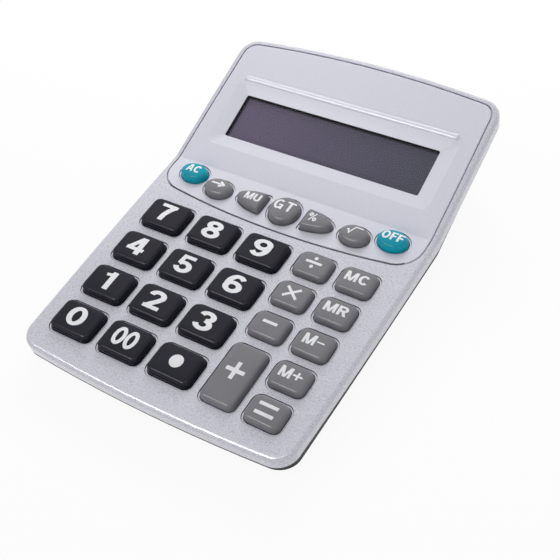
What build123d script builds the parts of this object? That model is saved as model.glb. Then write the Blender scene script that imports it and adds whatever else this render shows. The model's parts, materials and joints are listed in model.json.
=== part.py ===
from build123d import *
from math import cos, radians, sin, tan
import os

# A sloping desk calculator: a bent two-part housing, a display panel, 28 keys on a
# rubber dome mat, a circuit board, a liquid crystal display and one AA cell.
# Lengths are millimetres and angles are degrees. X runs to the right, Y to the back
# and Z up. The keypad plane is the deck and the display plane is the hood; both
# start at the fold, which is the line where the top bends.

# Overall form of the top
keypad_length = 121.2
hood_length = 76.2
half_width = 69.3
side_bow = 2.1
hood_side_bow = 0.8
front_bow = 2.7
back_bow = 3.9
corner_radius = 9.5
deck_tilt = 3.0
hood_bend = 15.4
fold_radius = 4.0
front_height = 13.0

# Walls
skin = 2.4
wall = 2.0
side_height = 5.6
edge_round = 1.9
floor_thickness = 1.8

# Lower housing
rim_inset = 0.15
front_band = 1.0
corner_band = 3.0
fold_band = 1.6
side_taper = 35.0
back_taper = 18.0
base_corner = 6.0
lip_thickness = 1.0
lip_height = 1.5
lip_gap = 0.15

# Display panel
panel_half_width = 66.4
panel_hood_bow = 1.1
panel_front = 22.5
panel_front_bow = 5.8
panel_back = 72.8
panel_back_bow = 3.6
panel_front_corner = 12.0
panel_back_corner = 6.5
panel_depth = 1.25
panel_proud = 0.15
panel_round = 0.5
panel_groove = 0.5

# Display opening, measured on the hood
window_half_length = 51.2
window_front = 18.2
window_back = 41.9
window_radius = 1.0
surround_half_length = 58.5
surround_front = 12.0
surround_back = 48.6
surround_radius = 3.0
surround_depth = 1.15
brow_half_length = 57.0
brow_place = 49.9
brow_radius = 2.0
brow_sink = 0.9

# Lens, glass and frame of the display
lens_margin = 1.6
lens_gap = 0.3
lens_thickness = 1.1
glass_margin_x = 3.0
glass_margin_y = 4.0
glass_drop = 0.3
glass_thickness = 2.0
frame_wall = 2.2
frame_gap = 0.2
frame_lip = 2.5
frame_lip_thickness = 0.8
frame_radius = 1.5
ribbon_thickness = 0.3
ribbon_half_width = 32.0
ribbon_overlap = 3.5
ribbon_drop = 0.5

# Keys
key_gap = 0.35
key_travel = 1.3
key_wall = 1.3
key_roof = 1.4
flange_width = 0.8
flange_thickness = 1.1
flange_gap = 0.1
post_radius = 1.9
ledge_width = 0.6
ledge_slope = 0.25
ledge_depth = 0.45

digit_length_x = 21.4
digit_length_y = 15.8
digit_radius = 3.1
digit_height = 3.1
digit_inset = 0.55
digit_round = 1.4
digit_left = -47.7
digit_back = -35.5
digit_pitch_x = 26.0
digit_pitch_y = 21.52

grey_length_x = 16.3
grey_length_y = 12.4
grey_radius = 3.0
grey_height = 2.9
grey_inset = 0.55
grey_round = 1.4
grey_left = 28.6
grey_pitch_x = 20.8
grey_back = -33.3
grey_pitch_y = 17.37
plus_length_y = 29.0

oval_radius_x = 7.05
oval_radius_y = 5.3
round_radius = 7.4
leaf_length = 14.2
leaf_half_depth = 5.4
leaf_radius = 1.0
function_height = 3.6
function_inset = 0.7
function_round = 1.9
leaf_round = 0.9
end_oval_x = 52.2
end_oval_y = -7.2
inner_oval_x = 35.7
inner_oval_y = -11.2
leaf_flat_x = 10.6
leaf_y = -11.2
round_y = -11.0

# Dome mat and circuit board
dome_clearance = 0.15
dome_height = 0.95
dome_base_radius = 3.0
dome_top_radius = 2.2
dome_pocket_radius = 1.6
dome_pocket_height = 1.1
mat_thickness = 0.8
board_thickness = 1.6
board_margin = 1.6
mat_back = 1.0
board_back = 7.0
board_corner = 2.0
chip_radius = 7.0
chip_height = 1.5
chip_x = 8.0
chip_y = -62.0
capacitor_radius = 2.5
capacitor_length = 7.0
capacitor_x = -24.0
capacitor_y = -24.0

# Screws, bosses and feet
boss_radius = 1.9
board_screw_radius = 0.9
board_screw_length = 5.2
board_head_radius = 1.8
board_head_height = 1.2
screw_clearance = 0.06
boss_clearance = 0.4
case_screw_radius = 1.3
case_screw_length = 7.0
case_head_radius = 2.3
case_head_height = 1.6
case_head_clearance = 0.3
case_boss_wall = 1.4
case_shoulder = 1.6
front_screw_x = 59.0
front_screw_y = -111.7
front_joint_height = 6.0
back_screw_x = 36.5
back_screw_y = 53.0
back_joint_height = 18.0
slot_width = 0.7
slot_depth = 0.6
foot_radius = 5.0
foot_proud = 1.2
foot_recess = 0.6
foot_round = 0.4
front_foot_x = 53.0
front_foot_y = -103.0
back_foot_x = 38.5
back_foot_y = 41.0

# Battery bay, its cover and its metal
cell_radius = 7.1
cell_length = 49.2
cell_nub_radius = 2.7
cell_nub_length = 1.3
cell_round = 0.6
cell_gap = 0.35
bay_half_length = 28.0
bay_wall = 2.2
contact_thickness = 0.5
contact_half_width = 5.5
contact_half_height = 5.0
contact_gap = 0.15
spring_radius = 3.2
spring_wire = 0.35
spring_pitch = 0.95
cover_gap = 0.25
cover_tongue = 1.2
cover_tongue_height = 1.1
cover_tongue_root = 2.2
cover_grip_half_length = 7.0
cover_grip_width = 1.0
cover_grip_depth = 0.6
cover_grip_pitch = 2.4
cover_grip_count = 3
lead_radius = 0.6
lead_start_height = 12.5
lead_side = 4.5
lead_bend_radius = 8.0
lead_landing = 3.0
lead_rise = 1.1
lead_gap = 0.1

# Cuts run past the faces they open by this much.
overrun = 4.0

# Places worked out from the sizes above
fold_height = front_height + keypad_length * sin(radians(deck_tilt))
deck = Pos(0, 0, fold_height) * Rot(deck_tilt, 0, 0)
hood = deck * Rot(hood_bend, 0, 0)
tall = front_height + hood_length
key_bottom = -(skin + flange_gap + flange_thickness)
dome_top = key_bottom - key_travel - dome_clearance
mat_top = dome_top - dome_height
board_top = mat_top - mat_thickness
board_bottom = board_top - board_thickness
parting = -side_height


def skin_path(level):
    """Side view of the bent top surface, moved along its normal by level."""
    bend = radians(hood_bend)
    reach = hood_length + overrun
    front = (-(keypad_length + overrun), level)
    corner = (-level * tan(bend / 2), level)
    back = (reach * cos(bend) - level * sin(bend), reach * sin(bend) + level * cos(bend))
    return FilletPolyline(front, corner, back, radius=fold_radius - level)


def bent_slab(upper, lower):
    """Everything between two levels of the bent surface, wider than the body."""
    top = skin_path(upper)
    bottom = skin_path(lower)
    ends = [Line(top @ 0, bottom @ 0), Line(top @ 1, bottom @ 1)]
    profile = make_face([*top.edges(), *bottom.edges(), *[end.edge() for end in ends]])
    return extrude(Plane.YZ * profile, amount=half_width + overrun, both=True)


def bowed_face(stations, radii):
    """A closed outline of four arcs: its half widths and lengths, with rounded corners."""
    front_x, front_y, front_mid, middle_x, back_x, back_y, back_mid = stations
    front = ThreePointArc((-front_x, front_y), (0, front_mid), (front_x, front_y))
    right = ThreePointArc((front_x, front_y), (middle_x, 0), (back_x, back_y))
    back = ThreePointArc((back_x, back_y), (0, back_mid), (-back_x, back_y))
    left = ThreePointArc((-back_x, back_y), (-middle_x, 0), (-front_x, front_y))
    face = make_face([arc.edge() for arc in (front, right, back, left)])
    front_corners = face.vertices().sort_by(Axis.Y)[:2]
    face = fillet(front_corners, radii[0])
    sharp = [(-back_x, back_y), (back_x, back_y)]
    back_corners = [min(face.vertices(), key=lambda v: (Vector(*v) - Vector(*place)).length)
                    for place in sharp]
    return fillet(back_corners, radii[1])


def plan_prism(inset):
    """The body's plan, inset on every side and run through along the deck's normal."""
    side = half_width - inset
    back_mid = hood_length * cos(radians(hood_bend)) - inset
    front_mid = -(keypad_length - inset)
    stations = (side - side_bow, front_mid + front_bow, front_mid, side,
                side - hood_side_bow, back_mid - back_bow, back_mid)
    face = bowed_face(stations, (corner_radius - inset, corner_radius - inset))
    return extrude(face, amount=tall, both=True)


def panel_prism(grow):
    """The display panel's plan, grown by a margin, along the deck's normal."""
    side = panel_half_width + grow
    back_mid = panel_back * cos(radians(hood_bend)) + grow
    front_mid = -(panel_front + grow)
    stations = (side, front_mid + panel_front_bow, front_mid, side,
                side - panel_hood_bow, back_mid - panel_back_bow, back_mid)
    face = bowed_face(stations, (panel_front_corner + grow, panel_back_corner + grow))
    return extrude(face, amount=tall, both=True)


def rim_edges(solid):
    """The edges around the upward faces of a bent plate."""
    tops = [face for face in solid.faces() if face.normal_at().Z > cos(radians(hood_bend * 2))]
    loops = [edge for face in tops for edge in face.edges()]
    return [edge for edge in loops if sum(edge.is_same(other) for other in loops) == 1]


def between(low_face, low, high_face, high):
    """A straight-sided solid from one outline at a low level to another at a high one."""
    return loft([Pos(0, 0, low) * low_face, Pos(0, 0, high) * high_face], ruled=True)


def post(radius, low, high):
    """An upright round bar between two levels."""
    return Pos(0, 0, low) * extrude(Circle(radius), amount=high - low)


def block(x_range, y_range, z_range):
    """A box given by its limits along each axis."""
    size = [high - low for low, high in (x_range, y_range, z_range)]
    middle = [(high + low) / 2 for low, high in (x_range, y_range, z_range)]
    return Pos(*middle) * Box(*size)


# Key outlines. Each gives a face grown by a margin, about the key's own place.
def pad_face(length_x, length_y, radius):
    return lambda grow: RectangleRounded(length_x + 2 * grow, length_y + 2 * grow, radius + grow)


def oval_face(radius_x, radius_y):
    return lambda grow: Ellipse(radius_x + grow, radius_y + grow)


def leaf_face(side):
    def face(grow):
        whole = Ellipse(leaf_length + grow, leaf_half_depth + grow)
        reach = leaf_length + overrun
        half = whole & Pos(side * (reach - grow) / 2, 0) * Rectangle(reach + grow, 2 * reach)
        flat_corners = half.vertices().sort_by(Axis.X)
        ends = flat_corners[:2] if side > 0 else flat_corners[-2:]
        return fillet(ends, leaf_radius + max(grow, 0) / 2)
    return face


digit_face = pad_face(digit_length_x, digit_length_y, digit_radius)
grey_face = pad_face(grey_length_x, grey_length_y, grey_radius)
plus_face = pad_face(grey_length_x, plus_length_y, grey_radius)
oval = oval_face(oval_radius_x, oval_radius_y)

# Height, inset of the top, rounding, and the level of the surface around the key
digit_style = (digit_height, digit_inset, digit_round, 0)
grey_style = (grey_height, grey_inset, grey_round, 0)
function_style = (function_height, function_inset, function_round, panel_proud)
leaf_style = (function_height, function_inset, leaf_round, panel_proud)

# Every key: its name, outline, place on the deck and style
keys = []
digit_rows = (("7", "8", "9"), ("4", "5", "6"), ("1", "2", "3"), ("0", "double_zero", "point"))
for row, names in enumerate(digit_rows):
    for column, name in enumerate(names):
        place = (digit_left + column * digit_pitch_x, digit_back - row * digit_pitch_y)
        keys.append(("key_" + name, digit_face, place, digit_style))
for row, name in enumerate(("divide", "multiply", "minus")):
    keys.append(("key_" + name, grey_face, (grey_left, grey_back - row * grey_pitch_y), grey_style))
plus_y = grey_back - (3 + 1 / 2) * grey_pitch_y
keys.append(("key_plus", plus_face, (grey_left, plus_y), grey_style))
for row, name in enumerate(("mc", "mr", "m_minus", "m_plus", "equals")):
    place = (grey_left + grey_pitch_x, grey_back - row * grey_pitch_y)
    keys.append(("key_" + name, grey_face, place, grey_style))
keys += [
    ("key_ac", oval, (-end_oval_x, end_oval_y), function_style),
    ("key_off", oval, (end_oval_x, end_oval_y), function_style),
    ("key_backspace", oval, (-inner_oval_x, inner_oval_y), function_style),
    ("key_root", oval, (inner_oval_x, inner_oval_y), function_style),
    ("key_mu", leaf_face(-1), (-leaf_flat_x, leaf_y), leaf_style),
    ("key_percent", leaf_face(1), (leaf_flat_x, leaf_y), leaf_style),
    ("key_gt", oval_face(round_radius, round_radius), (0, round_y), function_style),
]


def leaf_middle(name):
    """How far a leaf key's own middle lies from its flat side."""
    return {"key_mu": -leaf_length / 3, "key_percent": leaf_length / 3}.get(name, 0)


def key_posts(name):
    """Where a key presses its domes, from the key's place."""
    if name == "key_plus":
        return [(0, -grey_pitch_y / 2), (0, grey_pitch_y / 2)]
    return [(leaf_middle(name), 0)]


def key_hole(face, base):
    """The opening for a key, with a ledge around it a step below the level base."""
    ledge = face(key_gap + ledge_width)
    rim = face(key_gap + ledge_width + ledge_slope)
    shaft = Pos(0, 0, base - tall) * extrude(face(key_gap), amount=2 * tall)
    step = between(ledge, base - ledge_depth, rim, base)
    clear = Pos(0, 0, base) * extrude(rim, amount=overrun)
    return shaft + step + clear


def keycap(name, face, style):
    """A hollow key with a flange that stops under the skin and posts for the domes."""
    height, inset, rounding, base = style
    crown = between(face(0), 0, face(-inset), height)
    crown = fillet(crown.faces().sort_by(Axis.Z)[-1].edges(), rounding)
    shaft = Pos(0, 0, key_bottom) * extrude(face(0), amount=-key_bottom)
    flange = Pos(0, 0, key_bottom) * extrude(face(flange_width), amount=flange_thickness)
    ceiling = height - key_roof
    hollow = Pos(0, 0, key_bottom) * extrude(face(-key_wall), amount=ceiling - key_bottom)
    solid = crown + shaft + flange - hollow
    for x, y in key_posts(name):
        solid += Pos(x, y) * post(post_radius, key_bottom, ceiling)
    return solid


# Board screws stand where the gaps between the keys cross.
digit_cross_x = (digit_left + digit_pitch_x / 2, digit_left + digit_pitch_x * 3 / 2)
digit_cross_y = (digit_back - digit_pitch_y / 2, digit_back - digit_pitch_y * 5 / 2)
grey_cross_x = grey_left + grey_pitch_x / 2
grey_cross_y = (grey_back - grey_pitch_y / 2, grey_back - grey_pitch_y * 5 / 2)
board_screws = [(x, y) for x in digit_cross_x for y in digit_cross_y]
board_screws += [(grey_cross_x, y) for y in grey_cross_y]


def deck_point(y, level):
    """Height and depth in the standing frame of a point on the side view of the deck."""
    point = deck * Pos(0, y, level)
    return point.position.Y, point.position.Z


def hood_point(reach, level):
    point = hood * Pos(0, reach, level)
    return point.position.Y, point.position.Z


# The lower housing leans in from the rim to a flat base.
lean = tan(radians(side_taper))
back_lean = tan(radians(back_taper))
front_rim = deck_point(-keypad_length, parting - front_band)
corner_rim = deck_point(-keypad_length, parting - corner_band)
fold_rim = deck_point(0, parting - fold_band)
back_rim = hood_point(hood_length, parting - fold_band)
base_front = front_rim[0] + (front_rim[1] - foot_proud) * lean
base_back = back_rim[0] - (back_rim[1] - foot_proud) * back_lean
base_front_half = half_width - side_bow - (corner_rim[1] - foot_proud) * lean
base_fold_half = half_width - (fold_rim[1] - foot_proud) * lean
base_back_half = half_width - hood_side_bow - (back_rim[1] - foot_proud) * lean


def base_face(height, inset):
    """The lower housing's section at a height above its base."""
    out = height * lean - inset
    front_y = base_front - out
    back_y = base_back + height * back_lean - inset
    points = [(base_front_half + out, front_y + front_bow), (base_fold_half + out, 0),
              (base_back_half + out, back_y - back_bow)]
    sides = [Line(points[0], points[1]), Line(points[1], points[2])]
    sides += [Line((-x0, y0), (-x1, y1)) for (x0, y0), (x1, y1) in zip(points, points[1:])]
    front = ThreePointArc((-points[0][0], points[0][1]), (0, front_y), points[0])
    back = ThreePointArc((-points[2][0], points[2][1]), (0, back_y), points[2])
    face = make_face([line.edge() for line in (*sides, front, back)])
    high_share = height / back_rim[1]
    back_radius = base_corner + (corner_radius - base_corner) * high_share - inset / 2
    back_corners = face.vertices().sort_by(Axis.Y)[-2:]
    face = fillet(back_corners, back_radius)
    front_corners = face.vertices().sort_by(Axis.Y)[:2]
    return fillet(front_corners, base_corner + height * lean - inset / 2)


def lower_form(inset, start):
    """The lower housing as a solid, from start above its base to over its rim."""
    high = back_rim[1]
    return between(base_face(start, inset), foot_proud + start,
                   base_face(high, inset), foot_proud + high)


def on_deck(solid):
    return deck * solid


def on_hood(solid):
    return hood * solid


# Battery bay limits in the standing frame
floor_top = foot_proud + floor_thickness
bay_back = base_back - wall - wall
bay_front = bay_back - 2 * (cell_radius + cell_gap)
cell_height = floor_top + cover_tongue_height + cell_gap + cell_radius
bay_top = cell_height + cell_radius + cell_gap
bay_middle = (bay_front + bay_back) / 2
cover_front = bay_front - bay_wall / 2
case_screws = [(front_screw_x, front_screw_y, front_joint_height),
               (back_screw_x, back_screw_y, back_joint_height)]
case_screws = [(side * x, y, height) for side in (-1, 1) for x, y, height in case_screws]
case_boss_radius = case_head_radius + case_head_clearance + case_boss_wall
case_top_boss_radius = case_screw_radius + case_boss_wall
feet = [(front_foot_x, front_foot_y), (back_foot_x, back_foot_y)]
feet = [(side * x, y) for side in (-1, 1) for x, y in feet]


def window_face(margin_x, margin_y, radius):
    """A rounded rectangle about the display window."""
    length = window_back - window_front
    return Pos(0, (window_front + window_back) / 2) * RectangleRounded(
        2 * (window_half_length + margin_x), length + 2 * margin_y, radius)


def layer(face, low, high):
    return Pos(0, 0, low) * extrude(face, amount=high - low)


def make_top_case():
    shell = plan_prism(0) & bent_slab(0, parting)
    shell = fillet(rim_edges(shell), edge_round)
    shell -= plan_prism(wall) & bent_slab(-skin, parting - overrun)
    shell -= panel_prism(panel_groove / 2) & bent_slab(overrun, -panel_depth)
    for name, face, place, style in keys:
        if style[-1] > 0:
            shell -= Pos(*place) * layer(face(key_gap), -tall / 2, tall / 2)
        else:
            shell -= Pos(*place) * key_hole(face, 0)
    for x, y in board_screws:
        boss = post(boss_radius, board_top, -skin / 2)
        boss -= post(board_screw_radius + screw_clearance, board_top - overrun, -skin)
        shell += Pos(x, y) * boss
    opening = layer(window_face(lens_margin, lens_margin, window_radius), -tall / 2, tall / 2)
    shell = on_deck(shell) - on_hood(opening)
    inside = on_deck(plan_prism(wall / 2) & bent_slab(-(skin + panel_depth) / 2, -tall))
    for x, y, height in case_screws:
        boss = Pos(x, y) * post(case_top_boss_radius, height, tall)
        hole = Pos(x, y) * post(case_screw_radius + screw_clearance, height - overrun,
                                height - case_shoulder + case_screw_length)
        shell = shell + (boss & inside) - hole
    return shell


def make_panel():
    plate = panel_prism(-panel_groove / 2) & bent_slab(panel_proud, -panel_depth)
    plate = fillet(rim_edges(plate), panel_round)
    for name, face, place, style in keys:
        if style[-1] > 0:
            plate -= Pos(*place) * key_hole(face, panel_proud)
    plate = on_deck(plate)
    middle = (surround_front + surround_back) / 2
    outer = Pos(0, middle) * RectangleRounded(
        2 * surround_half_length, surround_back - surround_front, surround_radius)
    inner = window_face(0, 0, window_radius)
    slope = between(inner, panel_proud - surround_depth, outer, panel_proud)
    slope += layer(outer, panel_proud, panel_proud + overrun)
    slope += layer(inner, -tall / 2, panel_proud)
    level = panel_proud - brow_sink
    straight = brow_half_length - brow_radius
    bar = Pos(0, brow_place, level) * Rot(0, 90, 0) * Cylinder(brow_radius, 2 * straight)
    brow = bar
    for side in (-1, 1):
        brow += Pos(side * straight, brow_place, level) * Sphere(brow_radius)
    keep = layer(window_face(brow_half_length, brow_half_length, window_radius),
                 -panel_depth / 2, tall)
    return plate + on_hood(brow & keep) - on_hood(slope)


def make_display():
    """Lens, liquid crystal glass, frame and ribbon, all under the hood."""
    lens_face = window_face(lens_margin - lens_gap, lens_margin - lens_gap, window_radius)
    lens_bottom = -panel_depth - lens_thickness
    lens = on_hood(layer(lens_face, lens_bottom, -panel_depth))
    glass_top = -skin - glass_drop
    glass_bottom = glass_top - glass_thickness
    glass_face = window_face(glass_margin_x, glass_margin_y, frame_gap)
    glass = on_hood(layer(glass_face, glass_bottom, glass_top))
    pocket = window_face(glass_margin_x + frame_gap, glass_margin_y + frame_gap, frame_gap)
    outside = window_face(glass_margin_x + frame_gap + frame_wall,
                          glass_margin_y + frame_gap + frame_wall, frame_radius)
    frame_bottom = glass_bottom - frame_lip_thickness
    frame = layer(outside, frame_bottom, -skin) - layer(pocket, glass_bottom, overrun)
    frame -= layer(window_face(glass_margin_x - frame_lip, glass_margin_y + frame_gap, frame_gap),
                   frame_bottom - overrun, overrun)
    frame = on_hood(frame)
    return lens, glass, frame, glass_bottom, frame_bottom


def make_ribbon(glass_bottom, frame_bottom):
    """A flat ribbon from the board's top, under the frame, to the glass."""
    glass_front = window_front - glass_margin_y
    under = frame_bottom - ribbon_drop
    spots = [hood_point(glass_front + 2 * ribbon_overlap, glass_bottom),
             hood_point(glass_front + ribbon_overlap, glass_bottom),
             hood_point(glass_front, under),
             hood_point(glass_front - frame_wall - frame_gap - ribbon_overlap / 2, under),
             deck_point(board_back - ribbon_overlap / 2, board_top),
             deck_point(board_back - 3 / 2 * ribbon_overlap, board_top)]
    thick = ribbon_thickness
    lower = [(y, z - thick) for y, z in spots[:4]] + spots[4:]
    upper = [(y, z) for y, z in spots[:4]] + [(y, z + thick) for y, z in spots[4:]]
    outline = Polygon(*lower, *reversed(upper), align=None)
    return extrude(Plane.YZ * outline, amount=ribbon_half_width, both=True)


def board_face(back, margin):
    """The board's or mat's outline, a margin beyond the outermost keys."""
    left = digit_left - digit_length_x / 2 - flange_width - margin
    right = grey_left + grey_pitch_x + grey_length_x / 2 + flange_width + margin
    front_key = min(digit_back - 3 * digit_pitch_y - digit_length_y / 2,
                    grey_back - 4 * grey_pitch_y - grey_length_y / 2)
    front = front_key - flange_width - margin / 2
    return Pos((left + right) / 2, (front + back) / 2) * RectangleRounded(
        right - left, back - front, board_corner)


def case_boss_room():
    """The notches that the mat and the board leave for the case's front bosses."""
    room = [Pos(x, y) * post(case_boss_radius + boss_clearance, 0, tall)
            for x, y, height in case_screws if y < 0]
    return room[0] + room[1]


def make_mat():
    mat = layer(board_face(-mat_back, 0), board_top, mat_top)
    for name, face, (x, y), style in keys:
        for dx, dy in key_posts(name):
            dome = between(Circle(dome_base_radius), mat_top, Circle(dome_top_radius), dome_top)
            pocket = post(dome_pocket_radius, board_top, board_top + dome_pocket_height)
            mat = mat + Pos(x + dx, y + dy) * dome - Pos(x + dx, y + dy) * pocket
    for x, y in board_screws:
        mat -= Pos(x, y) * post(boss_radius + boss_clearance, board_bottom, dome_top)
    return on_deck(mat) - case_boss_room()


def make_board():
    board = layer(board_face(board_back, board_margin), board_bottom, board_top)
    for x, y in board_screws:
        board -= Pos(x, y) * post(board_screw_radius + screw_clearance, board_bottom - overrun,
                                  board_top + overrun)
    return on_deck(board) - case_boss_room()


def screw(radius, length, head_radius, head_height):
    """A screw that points up from its head's underside at zero, with a cross slot."""
    shape = post(radius, 0, length) + post(head_radius, -head_height, 0)
    for turn in (0, 90):
        cut = Box(2 * head_radius - slot_width, slot_width, 2 * slot_depth)
        shape -= Pos(0, 0, -head_height) * Rot(0, 0, turn) * cut
    return shape


def make_board_screws():
    one = screw(board_screw_radius, board_screw_length, board_head_radius, board_head_height)
    return Compound([on_deck(Pos(x, y, board_bottom) * one).solid() for x, y in board_screws])


def make_case_screws():
    one = screw(case_screw_radius, case_screw_length, case_head_radius, case_head_height)
    return Compound([(Pos(x, y, height - case_shoulder) * one).solid()
                     for x, y, height in case_screws])


def make_chip():
    drop = chip_height / 2
    dome = between(Circle(chip_radius * 2 / 3), board_bottom - chip_height,
                   Circle(chip_radius), board_bottom - drop)
    dome += post(chip_radius, board_bottom - drop, board_bottom)
    return on_deck(Pos(chip_x, chip_y) * dome)


def make_capacitor():
    can = Rot(0, 90, 0) * Cylinder(capacitor_radius, capacitor_length)
    return on_deck(Pos(capacitor_x, capacitor_y, board_bottom - capacitor_radius) * can)


def make_foot():
    pad = post(foot_radius, 0, foot_proud + foot_recess)
    return fillet(pad.faces().sort_by(Axis.Z)[0].edges(), foot_round)


def make_feet():
    return Compound([(Pos(x, y) * make_foot()).solid() for x, y in feet])


def cover_shape(gap):
    """The sliding cover, or with a gap the room that it needs, run past the back."""
    half = bay_half_length - gap
    tongue_top = floor_top + cover_tongue_height - gap / 2
    y_range = (cover_front - cover_gap + gap, base_back + tall)
    shape = block((-half, half), y_range, (foot_proud, floor_top - gap / 2))
    for side in (-1, 1):
        inner = side * (bay_half_length - cover_tongue_root - cover_gap + gap)
        outer = side * (bay_half_length + cover_tongue - gap)
        x_range = (min(inner, outer), max(inner, outer))
        shape += block(x_range, y_range, (floor_top - floor_thickness / 2, tongue_top))
    return shape


def make_bottom_case():
    rim = plan_prism(rim_inset) & bent_slab(parting, -tall)
    shell = on_deck(rim) & lower_form(0, 0)
    inside_width = wall + lip_gap + lip_thickness
    room = on_deck(plan_prism(inside_width) & bent_slab(overrun, -tall))
    shell -= room & lower_form(wall / cos(radians(side_taper)), floor_thickness)
    lip = plan_prism(wall + lip_gap) - plan_prism(inside_width)
    shell += on_deck(lip & bent_slab(parting + lip_height, parting - lip_height))
    bay_x = bay_half_length + bay_wall
    shell += block((-bay_x, bay_x), (bay_front - bay_wall, bay_back + bay_wall),
                   (foot_proud, bay_top + bay_wall)) & lower_form(0, 0)
    shell -= block((-bay_half_length, bay_half_length), (bay_front, bay_back),
                   (floor_top - overrun, bay_top))
    shell -= cover_shape(0)
    shell -= block((-bay_half_length, bay_half_length), (cover_front - cover_gap, base_back + tall),
                   (foot_proud - overrun, floor_top))
    for x, y, height in case_screws:
        tower = Pos(x, y) * post(case_boss_radius, foot_proud + floor_thickness / 2, height)
        well = Pos(x, y) * post(case_head_radius + case_head_clearance, foot_proud - overrun,
                                height - case_shoulder)
        hole = Pos(x, y) * post(case_screw_radius + screw_clearance, foot_proud, height + overrun)
        top_boss = Pos(x, y) * post(case_top_boss_radius + boss_clearance, height, tall)
        shell = shell - top_boss + (tower & lower_form(0, 0)) - well - hole
    for x, y in feet:
        shell -= Pos(x, y) * post(foot_radius, foot_proud - overrun, foot_proud + foot_recess)
    return shell


def make_cover():
    cover = cover_shape(cover_gap) & lower_form(0, 0)
    for index in range(cover_grip_count):
        y = bay_middle + (index - (cover_grip_count - 1) / 2) * cover_grip_pitch
        groove = block((-cover_grip_half_length, cover_grip_half_length),
                       (y - cover_grip_width / 2, y + cover_grip_width / 2),
                       (foot_proud - overrun, foot_proud + cover_grip_depth))
        cover -= groove
    return cover


def make_cell():
    can = Rot(0, 90, 0) * Cylinder(cell_radius, cell_length)
    can = fillet(can.edges(), cell_round)
    nub_x = (cell_length + cell_nub_length) / 2
    nub = Pos(nub_x, 0, 0) * Rot(0, 90, 0) * Cylinder(cell_nub_radius, cell_nub_length)
    return Pos(cell_x, bay_middle, cell_height) * (can + nub)


# The cell's nub touches the plate at the right, and the spring takes up the rest.
plate_x = bay_half_length - contact_gap - contact_thickness
cell_x = plate_x - contact_gap - cell_nub_length - cell_length / 2
cell_end = cell_x - cell_length / 2
spring_room = cell_end - contact_gap - (-plate_x)


def contact_plate(side):
    x_range = sorted((side * plate_x, side * (plate_x + contact_thickness)))
    return block(x_range, (bay_middle - contact_half_width, bay_middle + contact_half_width),
                 (cell_height - contact_half_height, cell_height + contact_half_height))


def make_spring_contact():
    """A plate with a coil spring that presses on the cell's flat end."""
    turns_length = spring_room - 2 * spring_wire
    path = Helix(pitch=turns_length / round(turns_length / spring_pitch),
                 height=turns_length, radius=spring_radius)
    section = Plane(origin=path @ 0, z_dir=path % 0) * Circle(spring_wire)
    coil = sweep(section, path=path, is_frenet=True)
    coil = Pos(-plate_x + spring_wire, bay_middle, cell_height) * Rot(0, 90, 0) * coil
    return contact_plate(-1) + coil


def make_lead(side):
    """A wire from a contact's outside, around the bay, to the back of the board."""
    lane = bay_half_length + bay_wall + lead_radius + lead_gap
    land_y, land_z = deck_point(board_back - lead_landing, board_top + lead_rise)
    spots = [(side * lane, bay_middle, lead_start_height),
             (side * lane, bay_front, lead_start_height),
             (side * (lane + lead_side), (bay_front + land_y) / 2, lead_start_height),
             (side * (lane + lead_side), land_y, land_z)]
    path = FilletPolyline(*spots, radius=lead_bend_radius)
    section = Plane(origin=path @ 0, z_dir=path % 0) * Circle(lead_radius)
    return sweep(section, path=path)


lens, glass, frame, glass_bottom, frame_bottom = make_display()
nodes = {
    "top_case": make_top_case(),
    "bottom_case": make_bottom_case(),
    "display_panel": make_panel(),
    "display_lens": lens,
    "lcd_glass": glass,
    "lcd_frame": frame,
    "lcd_ribbon": make_ribbon(glass_bottom, frame_bottom),
    "dome_mat": make_mat(),
    "main_board": make_board(),
    "chip_cover": make_chip(),
    "capacitor": make_capacitor(),
    "board_screws": make_board_screws(),
    "case_screws": make_case_screws(),
    "rubber_feet": make_feet(),
    "battery_cell": make_cell(),
    "battery_spring_contact": make_spring_contact(),
    "battery_plate_contact": contact_plate(1),
    "battery_lead_left": make_lead(-1),
    "battery_lead_right": make_lead(1),
    "battery_cover": make_cover(),
}
for name, face, place, style in keys:
    nodes[name] = on_deck(Pos(*place) * keycap(name, face, style))

# The origin lies under the middle of the whole body, on the surface it stands on.
whole = Compound([nodes["top_case"], nodes["bottom_case"]]).bounding_box()
centre = Pos(0, -(whole.min.Y + whole.max.Y) / 2, 0)
os.makedirs("parts", exist_ok=True)
for name, solid in nodes.items():
    export_step(centre * solid, "parts/" + name + ".step")
print("fold at", centre.position.Y, fold_height)
print("size", whole.size)
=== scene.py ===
import json
from collections import namedtuple
from math import cos, pi, radians, sin

import bmesh
import bpy
import numpy as np
from mathutils import Matrix, Vector
from mathutils.bvhtree import BVHTree


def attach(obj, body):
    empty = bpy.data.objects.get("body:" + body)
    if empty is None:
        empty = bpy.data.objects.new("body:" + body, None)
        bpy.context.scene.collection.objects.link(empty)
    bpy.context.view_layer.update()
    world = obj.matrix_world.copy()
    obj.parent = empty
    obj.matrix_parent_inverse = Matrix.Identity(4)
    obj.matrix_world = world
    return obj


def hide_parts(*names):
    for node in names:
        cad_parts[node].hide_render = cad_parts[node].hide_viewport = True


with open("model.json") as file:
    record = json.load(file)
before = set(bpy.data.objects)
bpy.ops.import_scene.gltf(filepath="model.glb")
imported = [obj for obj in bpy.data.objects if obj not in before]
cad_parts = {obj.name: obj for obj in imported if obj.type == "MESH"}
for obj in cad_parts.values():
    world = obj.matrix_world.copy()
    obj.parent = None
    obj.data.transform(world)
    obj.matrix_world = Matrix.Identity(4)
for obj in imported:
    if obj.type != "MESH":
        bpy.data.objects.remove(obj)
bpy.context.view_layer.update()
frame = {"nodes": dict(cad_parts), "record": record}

MM = 0.001
TINY = 1e-12

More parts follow.
